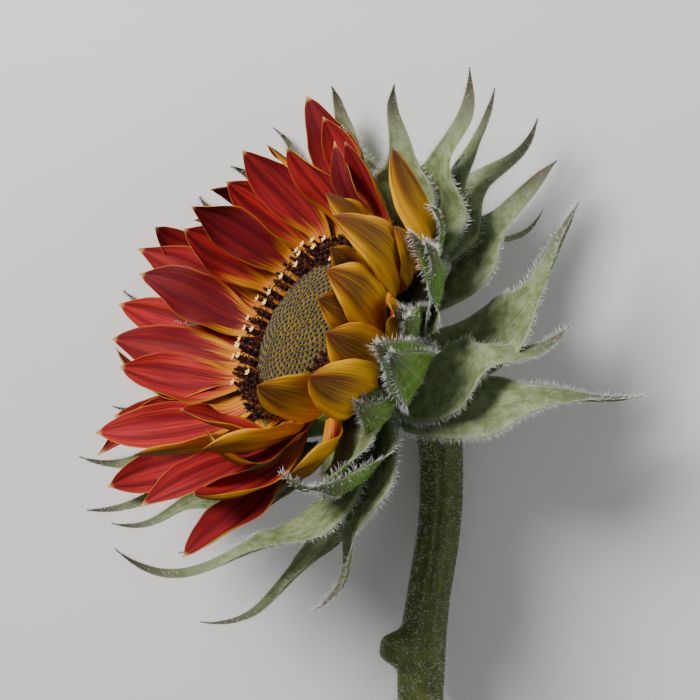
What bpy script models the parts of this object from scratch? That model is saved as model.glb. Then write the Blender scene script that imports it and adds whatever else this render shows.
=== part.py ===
"""Cut sunflower head: a red and gold flower head with its green bracts on a cut length of stem.

Everything is modelled in the head's own frame, in millimetres: +Z is the axis of the flower head,
pointing out of its face, and azimuth is measured round that axis from +X towards +Y. An empty then
lays the whole flower on its side, on the level surface z = 0, where a cut flower comes to rest.
"""

import math

import bpy
import bmesh
import numpy as np
from mathutils import Matrix, Vector

NAME = "sunflower_head"
MM = 0.001

# Disc of unopened florets and the ring of open ones round it: radius, height.
DISC_RADIUS = 19.2
DISC_RIM_HEIGHT = -1.5
DISC_CROWN_HEIGHT = 1.2
DISC_FOOT_HEIGHT = -6.0
RING_INNER_RADIUS = 19.6
RING_OUTER_RADIUS = 27.0
RING_CREST_HEIGHT = 2.6
RING_FOOT_HEIGHT = -6.0

# Receptacle: the green cup that carries all of it, from its top face down to the stem.
CUP_PROFILE = ((28.2, -6.4), (28.4, -8.5), (27.0, -12.5), (24.2, -17.5), (19.5, -22.5),
               (13.5, -26.5), (9.0, -29.0), (7.2, -31.0))

# Ray florets and bracts are thin blades.
RAY_THICKNESS = 0.5
BRACT_THICKNESS = 0.6
BLADE_STATIONS = 9
BLADE_STRIPS = 4
TIP_WIDTH = 0.7

# Rays stand in three rings on the rim of the cup: radius and height of each ring.
RAY_RINGS = ((29.2, -6.6), (30.4, -8.6), (31.6, -10.6))

# Ray florets, in order of azimuth: azimuth, ring, length, width, lift at the foot and at the tip,
# sideways sway at the tip, and the roll that the blade takes on towards its tip. A lift of
# 0 degrees spreads flat, 90 stands up along the axis, and more leans in over the disc.
RAYS = (
    (2, 1, 41, 15, 14, 94, 0, 0),
    (10, 0, 41, 15, 20, 98, 0, 0),
    (18, 1, 43, 15, 24, 104, 0, 0),
    (26, 0, 43, 15, 23, 95, 0, 0),
    (35, 1, 46, 15, 26, 100, 0, 0),
    (44, 2, 28, 10, 22, 74, 0, -20),
    (49, 0, 40, 16, 33, 103, 0, 0),
    (58, 2, 41, 15, 34, 56, 0, -30),
    (70, 1, 39, 12, 46, 70, 0, 30),
    (92, 1, 39, 12, 45, 67, 0, 36),
    (103, 0, 34, 11, 58, 80, 0, 30),
    (110, 2, 43, 13, 38, 60, 0, 40),
    (125, 0, 38, 13, 59, 81, 0, 28),
    (139, 1, 36, 12, 66, 88, 0, 22),
    (153, 0, 39, 12, 74, 97, 0, 14),
    (166, 0, 36, 13, 70, 95, 0, 8),
    (173, 2, 44, 13, 60, 85, 0, 6),
    (183, 1, 44, 13, 51, 73, 0, 0),
    (191, 0, 39, 13, 52, 72, 0, -4),
    (200, 2, 44, 13, 48, 66, 0, -8),
    (211, 1, 42, 14, 44, 64, 0, -14),
    (225, 0, 37, 13, 50, 70, 0, -18),
    (237, 1, 39, 11, 43, 58, 0, -26),
    (248, 0, 44, 13, 45, 60, 0, -38),
    (263, 1, 46, 14, 40, 50, 0, -44),
    (283, 0, 44, 11, 55, 65, 0, 24),
    (291, 1, 50, 13, 43, 53, 0, -40),
    (298, 0, 37, 12, 68, 84, 0, -44),
    (299, 2, 52, 13, 28, 38, 0, -34),
    (306, 1, 46, 13, 38, 52, 0, -34),
    (313, 0, 42, 12, 46, 64, 0, 10),
    (326, 2, 38, 14, 18, 50, 0, 8),
    (338, 0, 40, 15, 36, 86, 0, 0),
    (350, 1, 41, 16, 20, 80, 0, 0),
)

# Bracts: azimuth, foot radius, foot height, length, width, lift at the foot and at the tip,
# sideways sway at the foot and at the tip, and the roll that the blade takes on towards its tip.
BRACTS = (
    (73, 30.0, -13.0, 51, 18, 35, 44, 0, 12, 55),
    (62, 28.6, -14.5, 62, 17, 19, 26, 0, 24, 35),
    (66, 26.6, -17.5, 59, 14, 14, 14, 0, 20, 20),
    (80, 24.6, -19.5, 58, 17, 3, -8, -18, 6, 30),
    (60, 23.6, -20.5, 55, 20, -6, -8, 0, 20, 25),
    (18, 22.6, -23.0, 65, 22, -22, 8, 20, 80, 0),
    (356, 25.6, -19.0, 53, 20, -38, -8, 20, 88, 0),
    (342, 22.0, -23.0, 74, 16, -10, -68, 30, 98, 0),
    (5, 28.4, -16.0, 45, 15, 10, 75, 0, 0, 0),
    (350, 30.0, -14.0, 25, 12, 10, 75, 0, 0, 0),
    (332, 30.8, -13.6, 48, 16, -12, 92, 0, -28, 0),
    (320, 28.4, -16.8, 92, 17, -2, 90, 0, -72, -8),
    (332, 25.6, -20.0, 60, 16, 0, 4, 0, -72, 0),
    (302, 25.6, -20.0, 72, 15, -26, 64, 0, -33, 0),
    (252, 31.4, -13.0, 54, 11, 34, 72, 0, -6, -30),
    (264, 30.4, -15.0, 58, 12, 32, 58, 0, -4, -30),
    (279, 31.2, -13.4, 56, 12, 28, 64, 0, -6, -30),
    (106, 31.4, -13.0, 45, 18, 42, 46, 0, -4, 40),
    (142, 31.4, -13.0, 40, 12, 50, 76, 0, 4, 10),
    (207, 31.4, -13.0, 50, 12, 46, 42, 0, -50, -10),
    (35, 28.4, -16.0, 45, 15, 10, 75, 0, 0, 0),
    (20, 30.0, -14.0, 25, 12, 10, 75, 0, 0, 0),
)

# Relative width along a blade, from foot to tip.
RAY_OUTLINE = ((0.0, 0.38), (0.14, 0.56), (0.33, 0.86), (0.52, 1.0), (0.70, 0.92), (0.84, 0.64),
               (0.94, 0.30), (1.0, 0.0))
BRACT_OUTLINE = ((0.0, 0.62), (0.15, 0.86), (0.33, 1.0), (0.45, 0.88), (0.57, 0.52), (0.70, 0.32),
                 (0.86, 0.19), (1.0, 0.0))
CUPPING = {"ray": (18.0, 30.0), "bract": (10.0, 34.0)}

# Stem: its centre line through these points, and its radius at each of them.
STEM_ROUTE = ((0.0, 0.0, -31.4), (0.0, -0.3, -38.0), (1.0, -1.6, -45.7), (2.3, -6.8, -53.0),
              (4.1, -16.2, -59.2), (7.8, -31.3, -65.5), (12.1, -49.8, -71.0), (16.1, -65.4, -76.0),
              (20.7, -80.2, -82.0), (26.0, -98.0, -89.0))
STEM_RADII = (7.0, 6.6, 6.4, 6.2, 5.9, 5.8, 5.9, 6.6, 6.1, 6.0)
STEM_STEPS = 3

# How the blades give way to each other where they crowd.
SETTLE_KNOTS = 9
SETTLE_STATIONS = 17
SETTLE_STRIPS = 8
SETTLE_ROUNDS = 90
SETTLE_REACH = 2.4
SETTLE_DEPTH = 6.0
CLEARANCE = 1.25
RANK_PER_DEGREE = 0.1

# The side of the head that ends up underneath, as a direction in the head's frame.
UNDERSIDE = (-0.866, 0.0, -0.5)

COLOURS = {
    "ray": (0.48, 0.035, 0.02), "bract": (0.22, 0.34, 0.12), "disc": (0.42, 0.33, 0.09),
    "ring": (0.05, 0.015, 0.02), "cup": (0.16, 0.24, 0.09), "stem": (0.13, 0.14, 0.05),
}


class Blade:
    """One ray floret or bract: a centre line that leans as it runs out, and a cupped cross-section."""

    def __init__(self, name, kind, azimuth, foot, length, width, lifts, sways, roll, thickness):
        self.name, self.kind, self.thickness = name, kind, thickness
        self.azimuth, self.foot = math.radians(azimuth), foot
        self.length, self.width = length, width
        self.lifts, self.sways, self.roll = lifts, sways, roll
        self.shift = np.zeros((SETTLE_KNOTS, 3))

    def rank(self):
        """How far in the blade lies among its own kind: its foot's height and its mean lift."""
        return self.foot[1] + RANK_PER_DEGREE * 0.5 * sum(self.lifts)

    def surface(self, stations, strips):
        """Points and normals of the blade's middle surface, as arrays of stations by strips."""
        along = np.linspace(0.0, 1.0, stations)
        out = np.array((math.cos(self.azimuth), math.sin(self.azimuth), 0.0))
        sideways = np.array((-math.sin(self.azimuth), math.cos(self.azimuth), 0.0))
        axis = np.array((0.0, 0.0, 1.0))
        lift = np.radians(self.lifts[0] + (self.lifts[1] - self.lifts[0]) * along)[:, None]
        sway = np.radians(self.sways[0] + (self.sways[1] - self.sways[0]) * along)[:, None]
        heading = np.cos(sway) * out + np.sin(sway) * sideways
        forward = np.cos(lift) * heading + np.sin(lift) * axis
        inward = -np.sin(lift) * heading + np.cos(lift) * axis
        across = np.cross(inward, forward)
        roll = np.radians(self.roll) * np.sin(0.5 * math.pi * along)[:, None]
        across, inward = (np.cos(roll) * across + np.sin(roll) * inward,
                          np.cos(roll) * inward - np.sin(roll) * across)
        steps = 0.5 * (forward[1:] + forward[:-1]) * self.length / (stations - 1)
        centre = self.foot[0] * out + self.foot[1] * axis + np.vstack((np.zeros(3), np.cumsum(steps, axis=0)))
        knots = np.linspace(0.0, 1.0, SETTLE_KNOTS)
        centre = centre + np.stack([np.interp(along, knots, self.shift[:, k]) for k in range(3)], axis=1)
        outline = np.array(RAY_OUTLINE if self.kind == "ray" else BRACT_OUTLINE)
        half = 0.5 * np.maximum(self.width * np.interp(along, outline[:, 0], outline[:, 1]), TIP_WIDTH)
        cup = np.radians(np.interp(along, (0.0, 1.0), CUPPING[self.kind]))
        turn = cup[:, None] * np.linspace(-1.0, 1.0, strips)
        radius = (half / cup)[:, None]
        point = (centre[:, None] + (radius * np.sin(turn))[..., None] * across[:, None]
                 + (radius * (1.0 - np.cos(turn)))[..., None] * inward[:, None])
        normal = np.cos(turn)[..., None] * inward[:, None] - np.sin(turn)[..., None] * across[:, None]
        return point, normal


def make_blades():
    """Every ray and bract, with the outermost first."""
    blades = []
    for number, (azimuth, ring, length, width, foot_lift, tip_lift, sway, roll) in enumerate(RAYS, 1):
        blades.append(Blade(f"ray_floret_{number:02d}", "ray", azimuth, RAY_RINGS[ring], length, width,
                            (foot_lift, tip_lift), (0, sway), roll, RAY_THICKNESS))
    for number, row in enumerate(BRACTS, 1):
        azimuth, radius, height, length, width, foot_lift, tip_lift, foot_sway, tip_sway, roll = row
        blades.append(Blade(f"bract_{number:02d}", "bract", azimuth, (radius, height), length, width,
                            (foot_lift, tip_lift), (foot_sway, tip_sway), roll, BRACT_THICKNESS))
    return sorted(blades, key=lambda blade: (blade.kind == "ray", blade.rank(), blade.name))


def push_apart(outer, inner, samples, pushes):
    """Where the inner blade comes too near the outer one, note how far each station has to give."""
    outer_points, outer_normals = samples[outer]
    inner_points = samples[inner][0]
    low = np.maximum(outer_points.min((0, 1)), inner_points.min((0, 1)))
    high = np.minimum(outer_points.max((0, 1)), inner_points.max((0, 1)))
    if np.any(low > high + SETTLE_REACH):
        return 0.0
    flat_outer = outer_points.reshape(-1, 3)
    flat_inner = inner_points.reshape(-1, 3)
    between = flat_inner[:, None] - flat_outer[None]
    nearest = np.argmin((between ** 2).sum(-1), axis=1)
    offset = between[np.arange(len(flat_inner)), nearest]
    normals = outer_normals.reshape(-1, 3)[nearest]
    height = (offset * normals).sum(-1)
    aside = np.sqrt(np.maximum((offset ** 2).sum(-1) - height ** 2, 0.0))
    short = np.where((aside < SETTLE_REACH) & (height > -SETTLE_DEPTH), CLEARANCE - height, 0.0)
    worst = 0.0
    for index in np.nonzero(short > 0.02)[0]:
        worst = max(worst, short[index])
        step = normals[index] * short[index]
        for which, flat, sign in ((inner, index, 0.5), (outer, nearest[index], -0.5)):
            station = flat // SETTLE_STRIPS
            if np.linalg.norm(pushes[which][station]) < abs(sign) * short[index]:
                pushes[which][station] = sign * step
    return worst


def settle(blades):
    """Move crowded blades apart, each along the other's normal, with their feet held still."""
    free = np.clip(np.linspace(0.0, 1.0, SETTLE_KNOTS) * 3.0, 0.0, 1.0)[:, None]
    stations = np.linspace(0.0, 1.0, SETTLE_STATIONS)
    knots = np.linspace(0.0, 1.0, SETTLE_KNOTS)
    for _ in range(SETTLE_ROUNDS):
        samples = [blade.surface(SETTLE_STATIONS, SETTLE_STRIPS) for blade in blades]
        pushes = [np.zeros((SETTLE_STATIONS, 3)) for _ in blades]
        worst = 0.0
        for outer in range(len(blades)):
            for inner in range(outer + 1, len(blades)):
                worst = max(worst, push_apart(outer, inner, samples, pushes))
        if worst < 0.1:
            break
        for blade, push in zip(blades, pushes):
            smooth = push.copy()
            smooth[1:-1] = 0.25 * push[:-2] + 0.5 * push[1:-1] + 0.25 * push[2:]
            given = np.stack([np.interp(knots, stations, smooth[:, k]) for k in range(3)], axis=1)
            blade.shift += 0.6 * free * given


def material(kind, roughness):
    """One plain Principled material per kind of piece."""
    made = bpy.data.materials.get(kind) or bpy.data.materials.new(kind)
    made.use_nodes = True
    shader = made.node_tree.nodes["Principled BSDF"]
    shader.inputs["Base Color"].default_value = (*COLOURS[kind], 1.0)
    shader.inputs["Roughness"].default_value = roughness
    shader.inputs["Metallic"].default_value = 0.0
    return made


def add_object(name, data, kind, roughness, parent):
    """Put a named object with its material into the model's collection, under the head's empty."""
    piece = bpy.data.objects.new(name, data)
    bpy.data.collections[NAME].objects.link(piece)
    piece.parent = parent
    piece.data.materials.append(material(kind, roughness))
    return piece


def blade_object(blade, parent):
    """A grid bent onto the blade's middle surface and given its thickness."""
    points, _ = blade.surface(BLADE_STATIONS, BLADE_STRIPS)
    mesh = bpy.data.meshes.new(blade.name)
    sheet = bmesh.new()
    bmesh.ops.create_grid(sheet, x_segments=BLADE_STATIONS - 1, y_segments=BLADE_STRIPS - 1, size=1.0)
    for vertex in sheet.verts:
        station = round((vertex.co.x + 1.0) / 2.0 * (BLADE_STATIONS - 1))
        strip = round((vertex.co.y + 1.0) / 2.0 * (BLADE_STRIPS - 1))
        vertex.co = points[station, strip] * MM
    sheet.to_mesh(mesh)
    sheet.free()
    mesh.shade_smooth()
    piece = add_object(blade.name, mesh, blade.kind, 0.55, parent)
    solidify = piece.modifiers.new("thickness", "SOLIDIFY")
    solidify.thickness = blade.thickness * MM
    solidify.offset = 0.0
    return piece


def turned(name, profile, steps, kind, roughness, parent):
    """A solid of revolution about the head's axis, from a profile of radius and height."""
    mesh = bpy.data.meshes.new(name)
    line = bmesh.new()
    corners = [line.verts.new((radius * MM, 0.0, height * MM)) for radius, height in profile]
    for first, second in zip(corners, corners[1:]):
        line.edges.new((first, second))
    line.to_mesh(mesh)
    line.free()
    piece = add_object(name, mesh, kind, roughness, parent)
    screw = piece.modifiers.new("turn", "SCREW")
    screw.axis = "Z"
    screw.steps = screw.render_steps = steps
    screw.use_merge_vertices = True
    screw.merge_threshold = 0.00001
    screw.use_smooth_shade = True
    return piece


def dome(radius, rim_height, crown_height, count):
    """Profile points of a low dome, from the crown on the axis out to the rim."""
    points = []
    for index in range(count + 1):
        share = index / count
        points.append((radius * share, rim_height + (crown_height - rim_height) * (1.0 - share ** 2.4)))
    return points


def disc_object(parent):
    """The dome of unopened florets."""
    profile = dome(DISC_RADIUS, DISC_RIM_HEIGHT, DISC_CROWN_HEIGHT, 7)
    profile += [(DISC_RADIUS, DISC_FOOT_HEIGHT), (0.0, DISC_FOOT_HEIGHT)]
    turned("disc", profile, 36, "disc", 0.7, parent)


def ring_object(parent):
    """The ring of open florets round the disc, as one band with a rounded crest."""
    middle = 0.5 * (RING_INNER_RADIUS + RING_OUTER_RADIUS)
    reach = 0.5 * (RING_OUTER_RADIUS - RING_INNER_RADIUS)
    crest = RING_CREST_HEIGHT - RING_FOOT_HEIGHT
    profile = [(RING_INNER_RADIUS, RING_FOOT_HEIGHT)]
    for index in range(7):
        turn = math.pi * (1.0 - index / 6.0)
        profile.append((middle + reach * math.cos(turn), RING_FOOT_HEIGHT + crest * (0.55 + 0.45 * math.sin(turn))))
    profile += [(RING_OUTER_RADIUS, RING_FOOT_HEIGHT), (RING_INNER_RADIUS, RING_FOOT_HEIGHT)]
    turned("floret_ring", profile, 40, "ring", 0.6, parent)


def cup_object(parent):
    """The receptacle, closed across the top under the disc and across the bottom above the stem."""
    top = CUP_PROFILE[0][1]
    foot = CUP_PROFILE[-1][1]
    profile = [(0.0, top), (14.0, top), *CUP_PROFILE, (0.0, foot)]
    turned("receptacle", profile, 36, "cup", 0.6, parent)


def smooth_route(points, radii, steps):
    """A Catmull-Rom line through the points, with the radius carried along it."""
    ends = [2 * Vector(points[0]) - Vector(points[1])] + [Vector(point) for point in points]
    ends.append(2 * Vector(points[-1]) - Vector(points[-2]))
    route = []
    for index in range(len(points) - 1):
        a, b, c, d = ends[index:index + 4]
        for step in range(steps):
            t = step / steps
            spot = 0.5 * (2 * b + (c - a) * t + (2 * a - 5 * b + 4 * c - d) * t ** 2
                          + (3 * b - a - 3 * c + d) * t ** 3)
            route.append((spot, radii[index] + (radii[index + 1] - radii[index]) * t))
    route.append((Vector(points[-1]), radii[-1]))
    return route


def stem_object(parent):
    """The cut stem: one round rod along its route, with flat ends."""
    route = smooth_route(STEM_ROUTE, STEM_RADII, STEM_STEPS)
    curve = bpy.data.curves.new("stem", "CURVE")
    curve.dimensions = "3D"
    curve.bevel_depth = MM
    curve.bevel_resolution = 4
    curve.use_fill_caps = True
    spline = curve.splines.new("POLY")
    spline.points.add(len(route) - 1)
    for point, (spot, radius) in zip(spline.points, route):
        point.co = (*(spot * MM), 1.0)
        point.radius = radius
    add_object("stem", curve, "stem", 0.65, parent)


def mass_centre(pieces, depsgraph):
    """Centre of the pieces' volume in the world."""
    volume, moment = 0.0, Vector()
    for piece in pieces:
        evaluated = piece.evaluated_get(depsgraph)
        mesh = evaluated.to_mesh()
        mesh.calc_loop_triangles()
        spots = [evaluated.matrix_world @ vertex.co for vertex in mesh.vertices]
        for triangle in mesh.loop_triangles:
            a, b, c = (spots[index] for index in triangle.vertices)
            part = a.dot(b.cross(c)) / 6.0
            volume += part
            moment += part * (a + b + c) / 4.0
        evaluated.to_mesh_clear()
    return moment / volume


def world_corners(pieces, depsgraph):
    """Every vertex of every piece, in the world."""
    corners = []
    for piece in pieces:
        evaluated = piece.evaluated_get(depsgraph)
        mesh = evaluated.to_mesh()
        corners += [evaluated.matrix_world @ vertex.co for vertex in mesh.vertices]
        evaluated.to_mesh_clear()
    return corners


def resting_direction(corners, centre):
    """The hull face that the flower rests on, as the outward normal of that face.

    Of the faces near enough to the underside, and with the centre of mass over them, it is the one
    that lies nearest to that centre, so the flower lies as low as it can on that side.
    """
    hull = bmesh.new()
    for corner in corners:
        hull.verts.new(corner)
    bmesh.ops.convex_hull(hull, input=hull.verts)
    best, best_height = None, None
    start = Vector(UNDERSIDE).normalized()
    for face in hull.faces:
        if face.normal.dot(start) < 0.75 or face.calc_area() < 1e-9:
            continue
        drop = (face.verts[0].co - centre).dot(face.normal)
        foot = centre + drop * face.normal
        inside = all((loop.link_loop_next.vert.co - loop.vert.co).cross(foot - loop.vert.co).dot(face.normal) > 0
                     for loop in face.loops)
        if inside and (best is None or drop < best_height):
            best, best_height = face.normal.copy(), drop
    hull.free()
    return best


def lay_down(head, pieces):
    """Turn the flower so that its resting face is level, and stand it on z = 0 about the origin."""
    depsgraph = bpy.context.evaluated_depsgraph_get()
    down = resting_direction(world_corners(pieces, depsgraph), mass_centre(pieces, depsgraph))
    up = -down
    stem_end = Vector(STEM_ROUTE[-1]) * -1.0
    ahead = (stem_end - stem_end.dot(up) * up).normalized()
    side = ahead.cross(up)
    head.matrix_world = Matrix((side, ahead, up)).to_4x4()
    bpy.context.view_layer.update()
    depsgraph = bpy.context.evaluated_depsgraph_get()
    corners = world_corners(pieces, depsgraph)
    low = Vector([min(corner[k] for corner in corners) for k in range(3)])
    high = Vector([max(corner[k] for corner in corners) for k in range(3)])
    foot = Vector(((low.x + high.x) / 2.0, (low.y + high.y) / 2.0, low.z))
    head.matrix_world = Matrix.Translation(-foot) @ head.matrix_world


def main():
    for leftover in list(bpy.data.objects):
        bpy.data.objects.remove(leftover)
    collection = bpy.data.collections.new(NAME)
    bpy.context.scene.collection.children.link(collection)
    head = bpy.data.objects.new("head_frame", None)
    collection.objects.link(head)
    blades = make_blades()
    settle(blades)
    for blade in sorted(blades, key=lambda blade: blade.name):
        blade_object(blade, head)
    disc_object(head)
    ring_object(head)
    cup_object(head)
    stem_object(head)
    bpy.context.view_layer.update()
    pieces = [piece for piece in collection.objects if piece.type != "EMPTY"]
    lay_down(head, pieces)


main()
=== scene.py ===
"""Looks of the cut sunflower head: every piece of the flower, its floor, its light and its camera.

Lengths in this script are millimetres in the head's own frame, as in the part's source: +Z is the
axis of the flower head, pointing out of its face, and azimuth runs round it from +X towards +Y.
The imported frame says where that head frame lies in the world, in metres.
"""

import math

import bpy
import numpy as np
from mathutils import Matrix, Vector


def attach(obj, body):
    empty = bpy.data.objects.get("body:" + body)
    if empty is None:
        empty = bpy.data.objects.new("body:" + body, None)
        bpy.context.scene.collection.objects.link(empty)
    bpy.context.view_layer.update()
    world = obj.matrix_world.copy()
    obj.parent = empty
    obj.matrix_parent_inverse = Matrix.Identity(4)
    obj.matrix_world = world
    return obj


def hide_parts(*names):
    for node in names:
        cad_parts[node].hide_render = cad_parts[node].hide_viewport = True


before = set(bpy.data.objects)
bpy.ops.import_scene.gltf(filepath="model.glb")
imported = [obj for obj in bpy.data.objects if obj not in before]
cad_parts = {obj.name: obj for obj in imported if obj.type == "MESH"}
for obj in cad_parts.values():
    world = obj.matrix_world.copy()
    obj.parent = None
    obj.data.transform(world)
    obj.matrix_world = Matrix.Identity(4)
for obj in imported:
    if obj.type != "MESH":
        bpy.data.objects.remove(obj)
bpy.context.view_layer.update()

MM = 0.001
SEED = 20261
rng = np.random.default_rng(SEED)

# Disc of unopened florets and the ring of open ones round it.
DISC_RADIUS = 19.2
DISC_RIM_HEIGHT = -1.5
DISC_CROWN_HEIGHT = 1.2
RING_ROWS = ((20.7, 0.4), (22.9, 0.6), (25.1, 0.0))
RING_FOOT_HEIGHT = -6.0
CUP_PROFILE = ((28.2, -6.4), (28.4, -8.5), (27.0, -12.5), (24.2, -17.5), (19.5, -22.5),
               (13.5, -26.5), (9.0, -29.0), (7.2, -31.0))

# Rays stand in three rings on the rim of the cup: radius and height of each ring.
RAY_RINGS = ((29.2, -6.6), (30.4, -8.6), (31.6, -10.6))

# Ray florets, in order of azimuth: azimuth, ring, length, width, lift at the foot and at the tip,
# sideways sway at the tip, and the roll that the blade takes on towards its tip. A lift of
# 0 degrees spreads flat, 90 stands up along the axis, and more leans in over the disc.
RAYS = (
    (2, 1, 41, 15, 14, 94, 0, 0),
    (10, 0, 41, 15, 20, 98, 0, 0),
    (18, 1, 43, 15, 24, 104, 0, 0),
    (26, 0, 43, 15, 23, 95, 0, 0),
    (35, 1, 46, 15, 26, 100, 0, 0),
    (44, 2, 28, 10, 22, 74, 0, -20),
    (49, 0, 40, 16, 33, 103, 0, 0),
    (58, 2, 41, 15, 34, 56, 0, -30),
    (70, 1, 39, 12, 46, 70, 0, 30),
    (92, 1, 39, 12, 45, 67, 0, 36),
    (103, 0, 34, 11, 58, 80, 0, 30),
    (110, 2, 43, 13, 38, 60, 0, 40),
    (125, 0, 38, 13, 59, 81, 0, 28),
    (139, 1, 36, 12, 66, 88, 0, 22),
    (153, 0, 39, 12, 74, 97, 0, 14),
    (166, 0, 36, 13, 70, 95, 0, 8),
    (173, 2, 44, 13, 60, 85, 0, 6),
    (183, 1, 44, 13, 51, 73, 0, 0),
    (191, 0, 39, 13, 52, 72, 0, -4),
    (200, 2, 44, 13, 48, 66, 0, -8),
    (211, 1, 42, 14, 44, 64, 0, -14),
    (225, 0, 37, 13, 50, 70, 0, -18),
    (237, 1, 39, 11, 43, 58, 0, -26),
    (248, 0, 44, 13, 45, 60, 0, -38),
    (263, 1, 46, 14, 40, 50, 0, -44),
    (283, 0, 44, 11, 55, 65, 0, 24),
    (291, 1, 50, 13, 43, 53, 0, -40),
    (298, 0, 37, 12, 68, 84, 0, -44),
    (299, 2, 52, 13, 28, 38, 0, -34),
    (306, 1, 46, 13, 38, 52, 0, -34),
    (313, 0, 42, 12, 46, 64, 0, 10),
    (326, 2, 38, 14, 18, 50, 0, 8),
    (338, 0, 40, 15, 36, 86, 0, 0),
    (350, 1, 41, 16, 20, 80, 0, 0),
)

# Bracts: azimuth, foot radius, foot height, length, width, lift at the foot and at the tip,
# sideways sway at the foot and at the tip, and the roll that the blade takes on towards its tip.
BRACTS = (
    (73, 30.0, -13.0, 51, 18, 35, 44, 0, 12, 55),
    (62, 28.6, -14.5, 62, 17, 19, 26, 0, 24, 35),
    (66, 26.6, -17.5, 59, 14, 14, 14, 0, 20, 20),
    (80, 24.6, -19.5, 58, 17, 3, -8, -18, 6, 30),
    (60, 23.6, -20.5, 55, 20, -6, -8, 0, 20, 25),
    (18, 22.6, -23.0, 65, 22, -22, 8, 20, 80, 0),
    (356, 25.6, -19.0, 53, 20, -38, -8, 20, 88, 0),
    (342, 22.0, -23.0, 74, 16, -10, -68, 30, 98, 0),
    (5, 28.4, -16.0, 45, 15, 10, 75, 0, 0, 0),
    (350, 30.0, -14.0, 25, 12, 10, 75, 0, 0, 0),
    (332, 30.8, -13.6, 48, 16, -12, 92, 0, -28, 0),
    (320, 28.4, -16.8, 92, 17, -2, 90, 0, -72, -8),
    (332, 25.6, -20.0, 60, 16, 0, 4, 0, -72, 0),
    (302, 25.6, -20.0, 72, 15, -26, 64, 0, -33, 0),
    (252, 31.4, -13.0, 54, 11, 34, 72, 0, -6, -30),
    (264, 30.4, -15.0, 58, 12, 32, 58, 0, -4, -30),
    (279, 31.2, -13.4, 56, 12, 28, 64, 0, -6, -30),
    (106, 31.4, -13.0, 45, 18, 42, 46, 0, -4, 40),
    (142, 31.4, -13.0, 40, 12, 50, 76, 0, 4, 10),
    (207, 31.4, -13.0, 50, 12, 46, 42, 0, -50, -10),
    (35, 28.4, -16.0, 45, 15, 10, 75, 0, 0, 0),
    (20, 30.0, -14.0, 25, 12, 10, 75, 0, 0, 0),
)

# Smaller blades that lie between the others: the same columns as above.
SMALL_RAYS = (
    (14, 2, 33, 9, 10, 64, 0, 10),
    (116, 1, 37, 10, 58, 80, 0, -30),
    (147, 2, 39, 10, 70, 88, 0, -10),
    (242, 2, 46, 11, 36, 50, 0, -50),
    (309, 1, 36, 12, 60, 78, 0, -44),
    (217, 1, 40, 11, 52, 68, 0, 30),
    (160, 1, 36, 10, 74, 92, 0, -20),
    (81, 1, 36, 10, 48, 70, 0, 30),
)
SMALL_BRACTS = (
    (84, 28.0, -16.0, 46, 9, 48, -16, 0, -60, 0),
    (74, 22.0, -22.0, 44, 10, -34, -12, 0, 0, 0),
    (92, 30.6, -13.4, 38, 9, 52, 58, 0, -2, 30),
    (128, 31.0, -13.0, 41, 10, 48, 56, 0, -4, 20),
    (290, 30.4, -15.0, 48, 10, 20, 46, 0, -10, -20),
    (160, 30.0, -15.5, 44, 12, 40, 66, 0, 0, 0),
    (180, 29.0, -16.5, 46, 13, 30, 60, 0, 8, 0),
    (225, 29.6, -16.0, 48, 13, 28, 50, 0, -8, 0),
    (120, 27.0, -18.0, 46, 13, 10, 40, 0, 10, 0),
    (196, 26.0, -19.0, 48, 13, 4, 44, 0, -10, 0),
    (240, 26.6, -18.6, 46, 13, 2, 40, 0, 6, 0),
)

# A whorl of short leafy bracts on the near side, all with one lean and in two alternating lengths.
LEAFY_LIFTS = (10, 75)
NEAR_AZIMUTHS = range(-42, 60, 15)
NEAR_BRACTS = tuple(
    (azimuth, 29.0, -15.0 - 2.0 * (number % 2), 30 + 10 * (number % 2), 14, *LEAFY_LIFTS, 0, 0, 0)
    for number, azimuth in enumerate(NEAR_AZIMUTHS))


# Relative width along a blade, from foot to tip, and its cupping in degrees at foot and tip.
RAY_OUTLINE = ((0.0, 0.38), (0.14, 0.56), (0.33, 0.86), (0.52, 1.0), (0.70, 0.92), (0.84, 0.64),
               (0.94, 0.30), (1.0, 0.0))
BRACT_OUTLINE = ((0.0, 0.62), (0.15, 0.86), (0.33, 1.0), (0.45, 0.88), (0.57, 0.52), (0.70, 0.32),
                 (0.86, 0.19), (1.0, 0.0))
CUPPING = {"ray": (18.0, 30.0), "bract": (10.0, 34.0)}
TIP_WIDTH = 0.7

# Stem: its centre line through these points, and its radius at each of them.
STEM_ROUTE = ((0.0, 0.0, -31.4), (0.0, -0.3, -38.0), (1.0, -1.6, -45.7), (2.3, -6.8, -53.0),
              (4.1, -16.2, -59.2), (7.8, -31.3, -65.5), (12.1, -49.8, -71.0), (16.1, -65.4, -76.0),
              (20.7, -80.2, -82.0), (26.0, -98.0, -89.0))
STEM_RADII = (7.0, 6.6, 6.4, 6.2, 5.9, 5.8, 5.9, 6.6, 6.1, 6.0)
STEM_STEPS = 3

# How the blades give way to each other where they crowd, as in the part's source.
SETTLE_KNOTS = 9
SETTLE_STATIONS = 17
SETTLE_STRIPS = 8
SETTLE_ROUNDS = 90
SMALL_ROUNDS = 25
SETTLE_REACH = 2.4
SETTLE_DEPTH = 6.0
CLEARANCE = 1.25
RANK_PER_DEGREE = 0.1
EASED_DEGREE = 3

# Finer shape of the blades than the CAD grid carries.
FINE_STATIONS = 49
FINE_STRIPS = 17
RAY_THICKNESS = 0.34
BRACT_THICKNESS = 0.5
RIM_SHARE = 0.35
TAIL_SNAKE = 2.8
# The foot of each blade runs in to the cup, and a ray's foot rises over its rim to the florets.
ROOT_SHARE = 0.20
ROOT_REACH = {"ray": 4.6, "bract": 3.0}
ROOT_RISE = 1.5
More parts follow.
